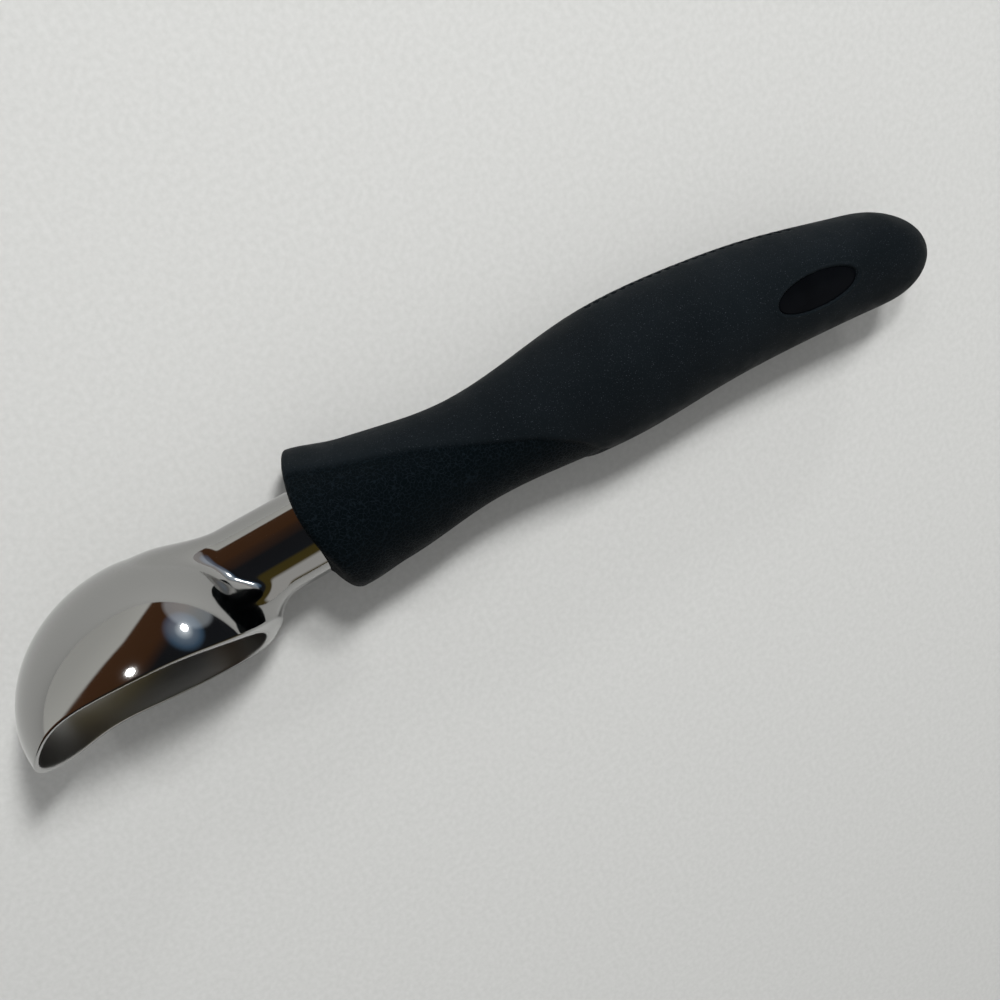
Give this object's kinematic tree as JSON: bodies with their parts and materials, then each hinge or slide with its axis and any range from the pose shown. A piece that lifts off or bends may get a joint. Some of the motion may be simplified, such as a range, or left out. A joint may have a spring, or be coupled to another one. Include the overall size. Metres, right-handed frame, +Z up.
{
  "type": "ice cream scoop",
  "caption": "One-piece scoop: mirror-polished oval bowl on a round neck, held in a soft-touch handle with a flared front, a slim waist, a palm swell and a rounded butt.",
  "frame": {"origin": "on the surface the scoop lies on, under the middle of its bounding box", "axes": "+X from the bowl to the butt of the handle, +Y towards the back of the bowl, +Z up from the surface; the scoop lies on its side with the bowl's opening facing -Y and a little up"},
  "size_m": [0.2082, 0.037, 0.0427],
  "materials": {
    "polished_metal": "mirror polished",
    "soft_rubber": "matt, fine grain",
    "core_plastic": "as moulded",
    "pin_steel": "ground",
    "badge_gloss": "smooth, plain"
  },
  "bodies": {
    "root": {"scoop_head": "polished_metal", "soft_grip": "soft_rubber", "handle_core": "core_plastic", "tang_pin": "pin_steel", "badge_plate": "badge_gloss"}
  },
  "joints": []
}
